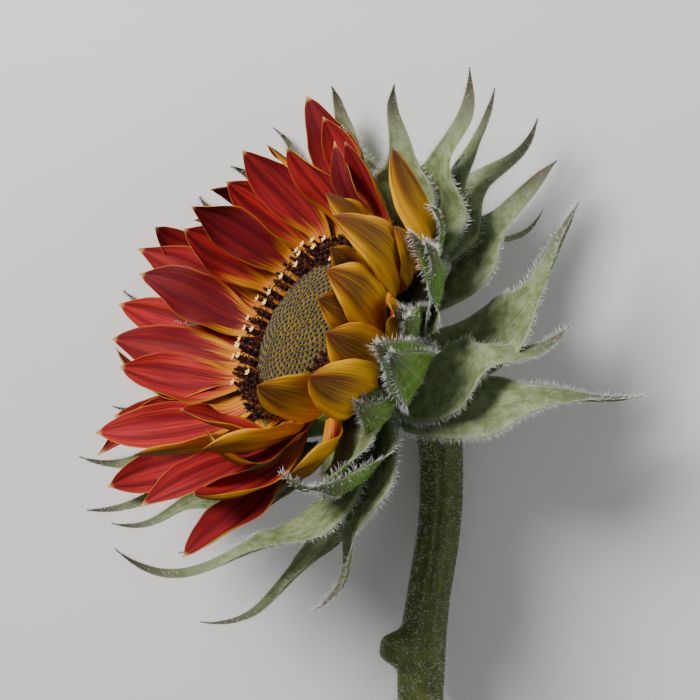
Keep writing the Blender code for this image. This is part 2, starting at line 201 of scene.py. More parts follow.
# What would sink below the floor lies on it instead, pressed flat: lengths in metres.
FLOOR_REST = 0.0004
FLOOR_GIVE = 0.012
# The visual blades are wider than the CAD ones by these factors.
FINE_WIDENING = {"ray": 1.14, "bract": 1.12}

# Bracts keep their width up to a pair of shoulders and then narrow quickly to a tail.
SHOULDERED = ((0.0, 0.62), (0.15, 0.84), (0.30, 1.0), (0.42, 1.02), (0.49, 0.84), (0.55, 0.50), (0.63, 0.34),
              (0.76, 0.24), (0.90, 0.14), (1.0, 0.0))

# The leafy bracts are plain ovals with a point.
OVATE = ((0.0, 0.66), (0.16, 0.90), (0.34, 1.0), (0.55, 0.84), (0.73, 0.48), (0.88, 0.20), (1.0, 0.0))

# How strongly plant surfaces reflect, of 1.
PLANT_GLOSS = 0.28

# Colours, linear.
RAY_BRIGHT = (0.47, 0.011, 0.021)
RAY_DEEP = (0.21, 0.003, 0.011)
# Near-black red: painted shade, laid in the creases and on petals in shade.
RAY_PAINTED_SHADE = (0.075, 0.002, 0.006)
# Orange of the face's streaks, which also stands in for a painted sheen.
RAY_ORANGE_AND_SHEEN = (0.55, 0.060, 0.016)
RAY_GOLD = (0.62, 0.255, 0.001)
RAY_AMBER = (0.38, 0.095, 0.001)
RAY_YELLOW = (0.80, 0.42, 0.002)
RAY_BROWN = (0.034, 0.005, 0.001)
RAY_RUST = (0.12, 0.014, 0.004)
RAY_TIP = (0.66, 0.34, 0.10)
BRACT_SAGE = (0.115, 0.15, 0.055)
BRACT_PALE = (0.24, 0.285, 0.15)
BRACT_LEAF = (0.075, 0.17, 0.010)
BRACT_GREEN = (0.15, 0.28, 0.030)
BRACT_DEEP = (0.07, 0.115, 0.025)
BRACT_MARGIN = (0.30, 0.32, 0.22)
BRACT_TAIL = (0.07, 0.045, 0.045)
BUD_OLIVE = (0.15, 0.12, 0.014)
BUD_YELLOW = (0.33, 0.21, 0.014)
BUD_BROWN = (0.09, 0.05, 0.012)
# Pale lavender-grey of a painted highlight on the buds' rims.
BUD_RIM_HIGHLIGHT = (0.13, 0.10, 0.055)
BUD_PIT = (0.010, 0.003, 0.010)
FLORET_DARK = (0.012, 0.003, 0.006)
FLORET_ORANGE = (0.34, 0.075, 0.005)
FLORET_BROWN = (0.15, 0.038, 0.006)
ANTHER_BLACK = (0.010, 0.006, 0.008)
STIGMA_CREAM = (0.95, 0.68, 0.22)
HAIR_FOOT = (0.50, 0.50, 0.36)
HAIR_WHITE = (0.88, 0.88, 0.86)
HAIR_GREY = (0.50, 0.46, 0.48)
STEM_OLIVE = (0.055, 0.070, 0.012)
STEM_GREEN = (0.095, 0.115, 0.025)
STEM_BROWN = (0.06, 0.035, 0.018)
PITH_PALE = (0.72, 0.70, 0.52)
PITH_GREEN = (0.46, 0.52, 0.26)
PITH_WARM = (0.52, 0.40, 0.22)

# The way the flower is looked at, in the head's frame.
VIEW_FROM = (0.866, 0.0, 0.5)
VIEW_UP = (-0.24, 0.877, 0.416)
VIEW_CENTRE = (7.4, 1.0, -12.8)
CAMERA_DISTANCE = 0.70
CAMERA_LENS = 133.3

# Lights: where each stands from what is looked at, to the right, up and towards the camera, its
# size (all in metres), its power and its colour. The sky and the floor are pale and plain.
LIGHTS = (("key", (-0.42, 0.34, 0.55), 0.30, 10.0, (1.0, 0.985, 0.96)),
          ("fill", (0.60, -0.10, 0.55), 0.60, 1.4, (0.95, 0.97, 1.0)))
SKY_STRENGTH = 0.34
SKY_COLOUR = (0.86, 0.88, 0.92)
FLOOR_REACH = 3.0
FLOOR_GREY = (0.66, 0.655, 0.64)
FLOOR_PALE = (0.70, 0.695, 0.68)

# Small parts of the flower: how many there are, or how far apart, and the sides of round pieces.
BUD_COUNT = 400
GOLDEN_ANGLE = math.pi * (3 - math.sqrt(5))
RING_SPACING = 3.0
DISC_SIDES = 72
CUP_SIDES = 96

# Stigmas are larger and more often out on one arc of the ring, in degrees round it.
BRIGHT_ARC = (95, 250)
BRIGHT_CHANCE = 0.34
OTHER_CHANCE = 0.12
BRIGHT_SIZE = 1.65

# The stem's finer steps, and the knot on it: its place along and round the stem, height and reach.
FINE_STEM_STEPS = 18
STEM_NODE_AT = 0.76
STEM_NODE_SIDE = 1.75
STEM_NODE_HEIGHT = 5.6
STEM_NODE_REACH = 0.030

# Hairs: their numbers, the step between the bristles of a margin, and their half-thickness.
STEM_HAIRS = 5200
FRINGE_STEP = 0.36
DOWN_PER_BRACT = 240
HAIR_WIDTH = 0.055


# ---------------------------------------------------------------------------------------------
# Blades
# ---------------------------------------------------------------------------------------------

class Blade:
    """One ray floret or bract: a centre line that leans as it runs out, and a cupped cross-section."""

    def __init__(self, name, kind, azimuth, foot, length, width, lifts, sways, roll):
        self.name, self.kind = name, kind
        self.azimuth, self.foot = math.radians(azimuth), foot
        self.length, self.width = length, width
        self.lifts, self.sways, self.roll = lifts, sways, roll
        self.shift = np.zeros((SETTLE_KNOTS, 3))

    def rank(self):
        """How far in the blade lies among its own kind: its foot's height and its mean lift."""
        return self.foot[1] + RANK_PER_DEGREE * 0.5 * sum(self.lifts)

    def eased_shift(self, along):
        """The settled shift as one smooth curve that stays at nothing at the foot."""
        knots = np.linspace(0.0, 1.0, SETTLE_KNOTS)
        powers = np.arange(1, EASED_DEGREE + 1)
        weights, *_ = np.linalg.lstsq(knots[:, None] ** powers, self.shift, rcond=None)
        return (along[:, None] ** powers) @ weights

    def frame_along(self, along, eased=False):
        """Centre line and its forward, sideways and inward directions at these shares of the length."""
        out = np.array((math.cos(self.azimuth), math.sin(self.azimuth), 0.0))
        sideways = np.array((-math.sin(self.azimuth), math.cos(self.azimuth), 0.0))
        axis = np.array((0.0, 0.0, 1.0))
        lift = np.radians(self.lifts[0] + (self.lifts[1] - self.lifts[0]) * along)[:, None]
        sway = np.radians(self.sways[0] + (self.sways[1] - self.sways[0]) * along)[:, None]
        heading = np.cos(sway) * out + np.sin(sway) * sideways
        forward = np.cos(lift) * heading + np.sin(lift) * axis
        inward = -np.sin(lift) * heading + np.cos(lift) * axis
        across = np.cross(inward, forward)
        roll = np.radians(self.roll) * np.sin(0.5 * math.pi * along)[:, None]
        across, inward = (np.cos(roll) * across + np.sin(roll) * inward,
                          np.cos(roll) * inward - np.sin(roll) * across)
        steps = 0.5 * (forward[1:] + forward[:-1]) * self.length * np.diff(along)[:, None]
        centre = self.foot[0] * out + self.foot[1] * axis + np.vstack((np.zeros(3), np.cumsum(steps, axis=0)))
        if eased:
            return centre + self.eased_shift(along), forward, across, inward
        knots = np.linspace(0.0, 1.0, SETTLE_KNOTS)
        centre = centre + np.stack([np.interp(along, knots, self.shift[:, k]) for k in range(3)], axis=1)
        return centre, forward, across, inward

    def surface(self, stations, strips):
        """Points and normals of the blade's plain middle surface, as arrays of stations by strips."""
        along = np.linspace(0.0, 1.0, stations)
        centre, _, across, inward = self.frame_along(along)
        outline = np.array(RAY_OUTLINE if self.kind == "ray" else BRACT_OUTLINE)
        half = 0.5 * np.maximum(self.width * np.interp(along, outline[:, 0], outline[:, 1]), TIP_WIDTH)
        cup = np.radians(np.interp(along, (0.0, 1.0), CUPPING[self.kind]))
        turn = cup[:, None] * np.linspace(-1.0, 1.0, strips)
        radius = (half / cup)[:, None]
        point = (centre[:, None] + (radius * np.sin(turn))[..., None] * across[:, None]
                 + (radius * (1.0 - np.cos(turn)))[..., None] * inward[:, None])
        normal = np.cos(turn)[..., None] * inward[:, None] - np.sin(turn)[..., None] * across[:, None]
        return point, normal


def make_blades(ray_rows, bract_rows, prefix=""):
    """Every ray and bract of these rows, with the outermost first."""
    blades = []
    for number, (azimuth, ring, length, width, foot_lift, tip_lift, sway, roll) in enumerate(ray_rows, 1):
        name = f"{prefix}ray_floret_{number:02d}"
        blades.append(Blade(name, "ray", azimuth, RAY_RINGS[ring], length, width,
                            (foot_lift, tip_lift), (0, sway), roll))
    for number, row in enumerate(bract_rows, 1):
        azimuth, radius, height, length, width, foot_lift, tip_lift, foot_sway, tip_sway, roll = row
        blades.append(Blade(f"{prefix}bract_{number:02d}", "bract", azimuth, (radius, height), length, width,
                            (foot_lift, tip_lift), (foot_sway, tip_sway), roll))
    return in_order(blades)


def in_order(blades):
    return sorted(blades, key=lambda blade: (blade.kind == "ray", blade.rank(), blade.name))


def by_name(blades):
    return sorted(blades, key=lambda blade: blade.name)


def push_apart(outer, inner, samples, pushes):
    """Where the inner blade comes too near the outer one, note how far each station has to give."""
    outer_points, outer_normals = samples[outer]
    inner_points = samples[inner][0]
    low = np.maximum(outer_points.min((0, 1)), inner_points.min((0, 1)))
    high = np.minimum(outer_points.max((0, 1)), inner_points.max((0, 1)))
    if np.any(low > high + SETTLE_REACH):
        return 0.0
    flat_outer = outer_points.reshape(-1, 3)
    flat_inner = inner_points.reshape(-1, 3)
    between = flat_inner[:, None] - flat_outer[None]
    nearest = np.argmin((between ** 2).sum(-1), axis=1)
    offset = between[np.arange(len(flat_inner)), nearest]
    normals = outer_normals.reshape(-1, 3)[nearest]
    height = (offset * normals).sum(-1)
    aside = np.sqrt(np.maximum((offset ** 2).sum(-1) - height ** 2, 0.0))
    short = np.where((aside < SETTLE_REACH) & (height > -SETTLE_DEPTH), CLEARANCE - height, 0.0)
    worst = 0.0
    for index in np.nonzero(short > 0.02)[0]:
        worst = max(worst, short[index])
        step = normals[index] * short[index]
        for which, flat, sign in ((inner, index, 0.5), (outer, nearest[index], -0.5)):
            station = flat // SETTLE_STRIPS
            if np.linalg.norm(pushes[which][station]) < abs(sign) * short[index]:
                pushes[which][station] = sign * step
    return worst


def settle(blades, rounds, held=()):
    """Move crowded blades apart, each along the other's normal, with their feet and the held ones still."""
    free = np.clip(np.linspace(0.0, 1.0, SETTLE_KNOTS) * 3.0, 0.0, 1.0)[:, None]
    stations = np.linspace(0.0, 1.0, SETTLE_STATIONS)
    knots = np.linspace(0.0, 1.0, SETTLE_KNOTS)
    still = [blade in held for blade in blades]
    for _ in range(rounds):
        samples = [blade.surface(SETTLE_STATIONS, SETTLE_STRIPS) for blade in blades]
        pushes = [np.zeros((SETTLE_STATIONS, 3)) for _ in blades]
        worst = 0.0
        for outer in range(len(blades)):
            for inner in range(outer + 1, len(blades)):
                if not (still[outer] and still[inner]):
                    worst = max(worst, push_apart(outer, inner, samples, pushes))
        if worst < 0.1:
            break
        for blade, push, fixed in zip(blades, pushes, still):
            if fixed:
                continue
            smooth = push.copy()
            smooth[1:-1] = 0.25 * push[:-2] + 0.5 * push[1:-1] + 0.25 * push[2:]
            given = np.stack([np.interp(knots, stations, smooth[:, k]) for k in range(3)], axis=1)
            blade.shift += 0.6 * free * given


def smooth_route(points, radii, steps):
    """A Catmull-Rom line through the points, with the radius carried along it."""
    ends = [2 * Vector(points[0]) - Vector(points[1])] + [Vector(point) for point in points]
    ends.append(2 * Vector(points[-1]) - Vector(points[-2]))
    route = []
    for index in range(len(points) - 1):
        a, b, c, d = ends[index:index + 4]
        for step in range(steps):
            t = step / steps
            spot = 0.5 * (2 * b + (c - a) * t + (2 * a - 5 * b + 4 * c - d) * t ** 2
                          + (3 * b - a - 3 * c + d) * t ** 3)
            route.append((spot, radii[index] + (radii[index + 1] - radii[index]) * t))
    route.append((Vector(points[-1]), radii[-1]))
    return route


def fine_outline(blade, along):
    """Relative width along a blade, as a smooth curve that keeps to the CAD outline's course."""
    outline = np.array(RAY_OUTLINE if blade.kind == "ray" else OVATE if leafy(blade) else SHOULDERED)
    dense = np.linspace(0.0, 1.0, 201)
    wide = np.interp(dense, outline[:, 0], outline[:, 1])
    padded = np.concatenate((np.full(9, wide[0]), wide, -wide[-2:-11:-1]))
    kernel = np.hanning(19) / np.hanning(19).sum()
    return np.maximum(np.interp(along, dense, np.convolve(padded, kernel, "valid")), 0.0)


def leafy(blade):
    return blade.kind == "bract" and blade.lifts == LEAFY_LIFTS


def wave(along, across, draws):
    """Low folds and a waved margin, in millimetres along the blade's normal."""
    edge = np.abs(across) ** 2.5
    side = np.where(across > 0, draws[0], draws[1])
    return (0.9 * edge * np.sin(2 * math.pi * (1.4 + draws[2]) * along + 6.0 * side)
            * np.sin(math.pi * along) ** 0.5)


def fine_surface(blade, draws):
    """Middle surface, normal and half-width of a blade, with its keels, folds, curl and twist."""
    along = np.linspace(0.0, 1.0, FINE_STATIONS) ** 0.95
    across = np.linspace(-1.0, 1.0, FINE_STRIPS)
    centre, forward, side, inward = blade.frame_along(along, eased=True)
    ray = blade.kind == "ray"
    root = np.clip(1.0 - along / ROOT_SHARE, 0.0, 1.0)[:, None] ** 1.5
    out = np.array((math.cos(blade.azimuth), math.sin(blade.azimuth), 0.0))
    centre = centre - root * ROOT_REACH[blade.kind] * out
    if ray:
        centre = centre + root * ROOT_RISE * np.array((0.0, 0.0, 1.0))
    if not ray and not leafy(blade):
        snake = np.sin(2 * math.pi * np.clip(along - 0.42, 0, 1) / 0.58)[:, None]
        centre = centre + snake * TAIL_SNAKE * ((draws[0] - 0.5) * side + (0.9 * draws[4] + 0.1) * inward)
    half = 0.5 * np.maximum(FINE_WIDENING[blade.kind] * blade.width * fine_outline(blade, along), 0.35)
    first, last = CUPPING[blade.kind]
    curl = 42.0 * draws[3] if ray else 50.0 * draws[3]
    cup = np.radians(first + (last - first) * along + curl * np.clip((along - 0.55) / 0.45, 0, 1) ** 1.5)
    turn = cup[:, None] * across
    radius = (half / cup)[:, None]
    s, t = along[:, None], across[None, :]
    lift = wave(s, t, draws)
    if ray:
        groove = np.exp(-((np.abs(t) - 0.34) / 0.11) ** 2)
        lift = lift - 0.85 * groove * np.clip(s * 3, 0, 1) * (1 - s ** 4)
        lift = lift + 0.07 * np.sin(t * 31.0 + 2.0 * draws[4]) * (1 - s ** 3)
    else:
        lift = lift - 1.5 * np.abs(t) ** 4 * np.sin(math.pi * np.clip(s / 0.62, 0, 1)) * (0.3 + draws[1])
        lift = lift - 0.55 * np.exp(-(t / 0.14) ** 2) * (1 - s) ** 0.5
        lift = lift - 0.22 * np.exp(-((np.abs(t) - 0.5) / 0.12) ** 2) * (1 - s)
    small = np.minimum(1.0, half[:, None] / 2.2)
    lift = lift * small
    normal = np.cos(turn)[..., None] * inward[:, None] - np.sin(turn)[..., None] * side[:, None]
    point = (centre[:, None] + (radius * np.sin(turn))[..., None] * side[:, None]
             + (radius * (1.0 - np.cos(turn)))[..., None] * inward[:, None])
    return point + lift[..., None] * normal, normal, along, across, half


# ---------------------------------------------------------------------------------------------
# Meshes
# ---------------------------------------------------------------------------------------------

def put_mesh(name, points, faces, materials, face_slots=None, uvs=None, values=None):
    """Make a piece from head-frame points in millimetres; it rides on the one body."""
    mesh = bpy.data.meshes.new(name)
    world = np.asarray(points) * MM @ HEAD_TURN.T + HEAD_ORIGIN
    sunk = world[:, 2] < FLOOR_REST
    world[sunk, 2] = FLOOR_REST * np.exp((world[sunk, 2] - FLOOR_REST) / FLOOR_GIVE)
    mesh.from_pydata(world.tolist(), [], [tuple(face) for face in faces])
    for material in materials:
        mesh.materials.append(material)
    if face_slots is not None:
        mesh.polygons.foreach_set("material_index", np.asarray(face_slots, np.int32))
    loops = np.zeros(len(mesh.loops), np.int32)
    mesh.loops.foreach_get("vertex_index", loops)
    for layer, pairs in (uvs or {}).items():
        flat = np.asarray(pairs, np.float32)[loops]
        mesh.uv_layers.new(name=layer).data.foreach_set("uv", flat.ravel())
    for layer, numbers in (values or {}).items():
        made = mesh.attributes.new(layer, "FLOAT", "POINT")
        made.data.foreach_set("value", np.asarray(numbers, np.float32))
    mesh.polygons.foreach_set("use_smooth", np.full(len(mesh.polygons), True))
    mesh.update()
    piece = bpy.data.objects.new(name, mesh)
    bpy.context.scene.collection.objects.link(piece)
    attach(piece, "root")
    return piece


def sheet_faces(rows, columns):
    """Faces of a thin closed sheet: front grid, back grid and the rim between them."""
    grid = np.arange(rows * columns).reshape(rows, columns)
    front = np.stack([grid[:-1, :-1], grid[1:, :-1], grid[1:, 1:], grid[:-1, 1:]], -1).reshape(-1, 4)
    back = front[:, ::-1] + rows * columns
    loop = np.concatenate([grid[0, :-1], grid[:-1, -1], grid[-1, :0:-1], grid[:0:-1, 0]])
    after = np.roll(loop, -1)
    rim = np.stack([loop, after, after + rows * columns, loop + rows * columns], -1)
    return front, back, rim


def blade_piece(blade, name, materials, draws):
    """One closed blade: its inner face in the first material, its back and margin in the second."""
    point, normal, along, across, half = fine_surface(blade, draws)
    thick = RAY_THICKNESS if blade.kind == "ray" else BRACT_THICKNESS
    taper = (1 - (1 - RIM_SHARE) * np.abs(across)[None, :] ** 3) * np.minimum(1.0, half / 1.2)[:, None]
    offset = 0.5 * thick * np.maximum(taper, 0.25)[..., None] * normal
    points = np.concatenate([(point + offset).reshape(-1, 3), (point - offset).reshape(-1, 3)])
    front, back, rim = sheet_faces(len(along), len(across))
    faces = np.concatenate([front, back, rim])
    slots = np.concatenate([np.zeros(len(front)), np.ones(len(back) + len(rim))])
    uv = np.stack(np.broadcast_arrays(along[:, None], (across[None, :] + 1) / 2), -1).reshape(-1, 2)
    uv = np.concatenate([uv, uv])
    tint = np.full(len(points), draws[5])
    # How far each ray's inner face is darkened: painted shade for petals that lie in shade.
    shade = np.full(len(points), draws[6])
    piece = put_mesh(name, points, faces, materials,
                     slots, {"blade": uv}, {"tint": tint, "shade": shade})
    return piece, (point, normal)


# ---------------------------------------------------------------------------------------------
# Where the head lies in the world
# ---------------------------------------------------------------------------------------------

def corners_of(node):
    """The distinct vertices of a CAD node, in metres in the world."""
    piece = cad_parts[node]
    spots = np.array([tuple(piece.matrix_world @ vertex.co) for vertex in piece.data.vertices])
    return np.unique(spots.round(6), axis=0)


def find_head():
    """The head's matrix: its axis from two turned solids, its azimuth from where the stem goes."""
    disc, cup, stem = corners_of("disc"), corners_of("receptacle"), corners_of("stem")
    axis = disc.mean(0) - cup.mean(0)
    axis /= np.linalg.norm(axis)
    origin = disc.mean(0)
    origin = origin + axis * ((disc @ axis).max() - origin @ axis - DISC_CROWN_HEIGHT * MM)
    route = np.array([tuple(spot) for spot, _ in smooth_route(STEM_ROUTE, STEM_RADII, STEM_STEPS)])
    designed = route.mean(0)
    found = stem.mean(0) - origin
    found = found - (found @ axis) * axis
    turn = math.atan2(designed[1], designed[0])
    level = found / np.linalg.norm(found)
    other = np.cross(axis, level)
    x_axis = math.cos(turn) * level - math.sin(turn) * other
    y_axis = np.cross(axis, x_axis)
    matrix = np.eye(4)
    matrix[:3, 0], matrix[:3, 1], matrix[:3, 2], matrix[:3, 3] = x_axis, y_axis, axis, origin
    return Matrix(matrix.tolist())


# ---------------------------------------------------------------------------------------------
# Materials
# ---------------------------------------------------------------------------------------------

class Shade:
    """A Principled material built up node by node."""

    def __init__(self, name, roughness):
        self.material = bpy.data.materials.new(name)
        self.material.use_nodes = True
        self.tree = self.material.node_tree
        self.shader = self.tree.nodes["Principled BSDF"]
        self.shader.inputs["Roughness"].default_value = roughness
        self.shader.inputs["Specular IOR Level"].default_value = PLANT_GLOSS

    def node(self, kind, **inputs):
        made = self.tree.nodes.new(kind)
        for name, value in inputs.items():
            place = int(name[1:]) if name[1:].isdigit() else name
            self.put(made.inputs[place], value)
        return made

    def put(self, socket, value):
        if isinstance(value, bpy.types.NodeSocket):
            self.tree.links.new(value, socket)
        else:
            socket.default_value = value

    def calc(self, operation, a, b=0.0):
        made = self.node("ShaderNodeMath", i0=a, i1=b)
        made.operation = operation
        return made.outputs[0]

    def times(self, a, b):
        return self.calc("MULTIPLY", a, b)

    def plus(self, a, b):
        return self.calc("ADD", a, b)

    def minus(self, a, b):
        return self.calc("SUBTRACT", a, b)

    def from_middle(self, across):
        """0 on the blade's midrib, 1 at its margins."""
        return self.calc("ABSOLUTE", self.minus(self.times(across, 2.0), 1.0))

    def strands(self, along, across, seed, detail=3.0, rough=0.55):
        """Streaks that run along a blade; each of along and across comes with how fast it varies."""
        where = self.place(self.times(*along), self.times(*across), seed)
        return self.noise(where, 1.0, detail, rough)

    def ramp(self, value, low, high):
        """0 at low, 1 at high, smooth between."""
        made = self.node("ShaderNodeMapRange", Value=value)
        made.interpolation_type = "SMOOTHSTEP"
        made.inputs["From Min"].default_value, made.inputs["From Max"].default_value = low, high
        if low > high:
            made.inputs["From Min"].default_value, made.inputs["From Max"].default_value = high, low
            made.inputs["To Min"].default_value, made.inputs["To Max"].default_value = 1.0, 0.0
        return made.outputs[0]

    def mix(self, share, first, second):
        made = self.tree.nodes.new("ShaderNodeMix")
        made.data_type = "RGBA"
        for socket, value in ((made.inputs[0], share), (made.inputs[6], first), (made.inputs[7], second)):
            if isinstance(value, tuple):
                value = (*value, 1.0)
            self.put(socket, value)
        return made.outputs[2]

    def number(self, name):
        made = self.tree.nodes.new("ShaderNodeAttribute")
        made.attribute_name = name
        return made.outputs["Fac"]

    def along_across(self):
        layer = self.tree.nodes.new("ShaderNodeUVMap")
        layer.uv_map = "blade"
        parts = self.node("ShaderNodeSeparateXYZ", i0=layer.outputs[0])
        return parts.outputs[0], parts.outputs[1]

    def place(self, x, y, z):
        return self.node("ShaderNodeCombineXYZ", i0=x, i1=y, i2=z).outputs[0]

    def world(self):
        """The surface's own place, in millimetres."""
        spot = self.tree.nodes.new("ShaderNodeTexCoord").outputs["Object"]
        made = self.node("ShaderNodeVectorMath", i0=spot)
        made.operation = "SCALE"
        made.inputs["Scale"].default_value = 1.0 / MM
        return made.outputs[0]

    def noise(self, where, scale, detail=3.0, rough=0.55):
        made = self.node("ShaderNodeTexNoise", Vector=where, Scale=scale, Detail=detail, Roughness=rough)
        return made.outputs["Fac"]

    def bump(self, height, distance):
        made = self.node("ShaderNodeBump", Height=height, Distance=distance * MM, Strength=1.0)
        self.tree.links.new(made.outputs[0], self.shader.inputs["Normal"])

    def finish(self, colour, roughness=None):
        self.put(self.shader.inputs["Base Color"], colour)
        if roughness is not None:
            self.put(self.shader.inputs["Roughness"], roughness)
        return self.material


def ray_material(name, inner):
    """A ray floret's crimson face with its golden foot and painted shade in its creases and on petals in
    shade, or its golden back with a brown heart.
    """
    look = Shade(name, 0.5)
    along, across = look.along_across()
    tint, shade = look.number("tint"), look.number("shade")
    seed = look.times(tint, 37.0)
    broad = look.strands((along, 2.2), (across, 9.0), seed)
    streak = look.strands((along, 0.45), (across, 15.0), seed, 4.0, 0.6)
    fine = look.strands((along, 1.2), (across, 60.0), seed, 2.0)
    middle = look.from_middle(across)
    reach = look.plus(along, look.times(look.minus(streak, 0.5), 0.75))
    if inner:
        red = look.mix(look.ramp(broad, 0.32, 0.68), RAY_DEEP, RAY_BRIGHT)
        # Orange streaks along the veins: partly the petal's own streaking, partly painted sheen.
        red = look.mix(look.times(look.ramp(fine, 0.46, 0.66), 0.62), red, RAY_ORANGE_AND_SHEEN)
        # Painted shade: dark lines along the two grooves, standing in for the shade in the creases.
        painted_crease_shade = look.ramp(look.calc("ABSOLUTE", look.minus(middle, 0.34)), 0.20, 0.02)
        red = look.mix(look.times(painted_crease_shade, 0.62), red, RAY_PAINTED_SHADE)
        # Painted shade: the whole inner face darkened by each petal's own share.
        red = look.mix(look.times(shade, 0.75), red, RAY_PAINTED_SHADE)
        gold = look.mix(look.ramp(fine, 0.35, 0.65), RAY_GOLD, RAY_AMBER)
        spread = look.times(look.times(middle, middle), 0.30)
        foot_end = look.plus(spread, look.plus(0.04, look.times(tint, 0.15)))
        share = look.ramp(look.minus(reach, foot_end), -0.06, 0.14)
        colour = look.mix(share, gold, red)
        margin = look.times(look.ramp(middle, 0.93, 1.0), 0.7)
        colour = look.mix(margin, colour, RAY_AMBER)
        colour = look.mix(look.ramp(along, 0.955, 0.99), colour, RAY_TIP)
    else:
        colour = look.mix(look.ramp(broad, 0.3, 0.7), RAY_GOLD, RAY_YELLOW)
        heart = look.ramp(look.plus(middle, look.times(along, -0.25)), 0.62, 0.20)
        centre = look.times(heart, look.ramp(along, 0.42, 0.80))
        brown = look.times(centre, look.plus(0.55, look.times(look.ramp(fine, 0.36, 0.60), 0.45)))
        colour = look.mix(brown, colour, RAY_BROWN)
        colour = look.mix(look.times(look.ramp(fine, 0.48, 0.62), 0.40), colour, RAY_AMBER)
        colour = look.mix(look.times(look.ramp(reach, 0.84, 1.02), 0.85), colour, RAY_RUST)
    height = look.plus(look.times(streak, 0.6), look.times(fine, 0.4))
    look.bump(height, 0.32)
    return look.finish(colour, look.plus(0.52, look.times(fine, 0.25)))


def bract_material(name, inner):
    """A bract's green face, paler on its back, with raised veins and a purple-brown tail."""
    look = Shade(name, 0.62)
    along, across = look.along_across()
    tint = look.number("tint")
    seed = look.times(tint, 23.0)
    world = look.world()
    mottle = look.noise(world, 0.35, 4.0)
    grain = look.noise(world, 2.6, 3.0)
    streak = look.strands((along, 3.0), (across, 16.0), seed)
    middle = look.from_middle(across)
    dull, fresh = (BRACT_SAGE, BRACT_PALE) if inner else (BRACT_LEAF, BRACT_GREEN)
    base = look.mix(look.ramp(mottle, 0.3, 0.7), dull, fresh)
    base = look.mix(look.times(look.ramp(streak, 0.5, 0.75), 0.4), base, BRACT_DEEP)
    rib = look.ramp(middle, 0.09, 0.02)
    side = look.ramp(look.calc("ABSOLUTE", look.minus(middle, 0.5)), 0.06, 0.01)
    veins = look.calc("MAXIMUM", rib, look.times(side, 0.6))
    base = look.mix(look.times(veins, 0.4), base, BRACT_PALE)
    margin = look.times(look.ramp(middle, 0.84, 0.98), 0.5)
    base = look.mix(margin, base, BRACT_MARGIN)
    tail = look.ramp(look.plus(along, look.times(look.minus(mottle, 0.5), 0.3)), 0.62, 1.0)
    base = look.mix(look.times(tail, 0.85), base, BRACT_TAIL)
    foot = look.times(look.ramp(along, 0.16, 0.0), 0.5)
    base = look.mix(foot, base, BRACT_LEAF)
    height = look.plus(look.times(grain, 0.6), look.times(veins, 0.5))
    look.bump(height, 0.25)
    return look.finish(base, look.plus(0.5, look.times(grain, 0.25)))


def bud_material():
    """Unopened florets: olive-yellow with a violet pit in each and a painted highlight round its rim."""
    look = Shade("bud_look", 0.6)
    ring, tint = look.number("ring"), look.number("tint")
    grain = look.noise(look.world(), 3.2, 3.0)
    side = look.mix(tint, BUD_OLIVE, BUD_YELLOW)
    side = look.mix(look.times(look.ramp(grain, 0.5, 0.7), 0.5), side, BUD_BROWN)
    # Painted highlight: a pale lavender-grey ring round the rim of each pit.
    colour = look.mix(look.ramp(ring, 0.80, 0.62), side, BUD_RIM_HIGHLIGHT)
    colour = look.mix(look.ramp(ring, 0.60, 0.42), colour, BUD_PIT)
    look.bump(grain, 0.12)
    return look.finish(colour, look.plus(0.42, look.times(grain, 0.3)))


def floret_material(name, dark, light, share_low, share_high, roughness):
    """Open floret parts: one colour low down, another at the mouth."""
    look = Shade(name, roughness)
    level, tint = look.number("level"), look.number("tint")
    grain = look.noise(look.world(), 4.0, 3.0)
    reach = look.plus(level, look.times(look.minus(grain, 0.5), 0.3))
    colour = look.mix(look.ramp(reach, share_low, share_high), dark, light)
    colour = look.mix(look.times(tint, 0.35), colour, FLORET_BROWN)
    look.bump(grain, 0.1)
    return look.finish(colour, look.plus(roughness - 0.1, look.times(grain, 0.25)))


def flesh_material(name, first, second, third, scale, roughness):
    """Matt plant flesh, mottled between three colours."""
    look = Shade(name, roughness)
    world = look.world()
    mottle = look.noise(world, scale, 5.0)
    grain = look.noise(world, scale * 9.0, 3.0)
    colour = look.mix(look.ramp(mottle, 0.35, 0.65), first, second)
    colour = look.mix(look.times(look.ramp(grain, 0.5, 0.72), 0.5), colour, third)
    look.bump(look.plus(look.times(mottle, 0.6), look.times(grain, 0.4)), 0.3)
    return look.finish(colour, look.plus(roughness - 0.12, look.times(grain, 0.25)))


def hair_material():
    """Clear white bristles, yellower at the foot."""
    look = Shade("hair_look", 0.4)
    level = look.number("level")
    grain = look.noise(look.world(), 1.3, 2.0)
    colour = look.mix(look.ramp(level, 0.0, 0.45), HAIR_FOOT, HAIR_WHITE)
    colour = look.mix(look.times(look.ramp(grain, 0.5, 0.7), 0.35), colour, HAIR_GREY)
    return look.finish(colour, look.plus(0.34, look.times(grain, 0.2)))


# ---------------------------------------------------------------------------------------------
# Disc, ring of open florets, cup and stem
# ---------------------------------------------------------------------------------------------

def dome_height(radius):
    """Height of the disc's surface at a radius."""
    share = np.clip(radius / DISC_RADIUS, 0.0, 1.0)
    return DISC_RIM_HEIGHT + (DISC_CROWN_HEIGHT - DISC_RIM_HEIGHT) * (1.0 - share ** 2.4)


def tube_faces(rows, sides):
    """Side faces of a tube made of so many rings, row by row."""
    faces = []
    for row in range(rows - 1):
        for k in range(sides):
            after = (k + 1) % sides
            low, high = row * sides, (row + 1) * sides
            faces.append((low + k, low + after, high + after, high + k))
    return faces


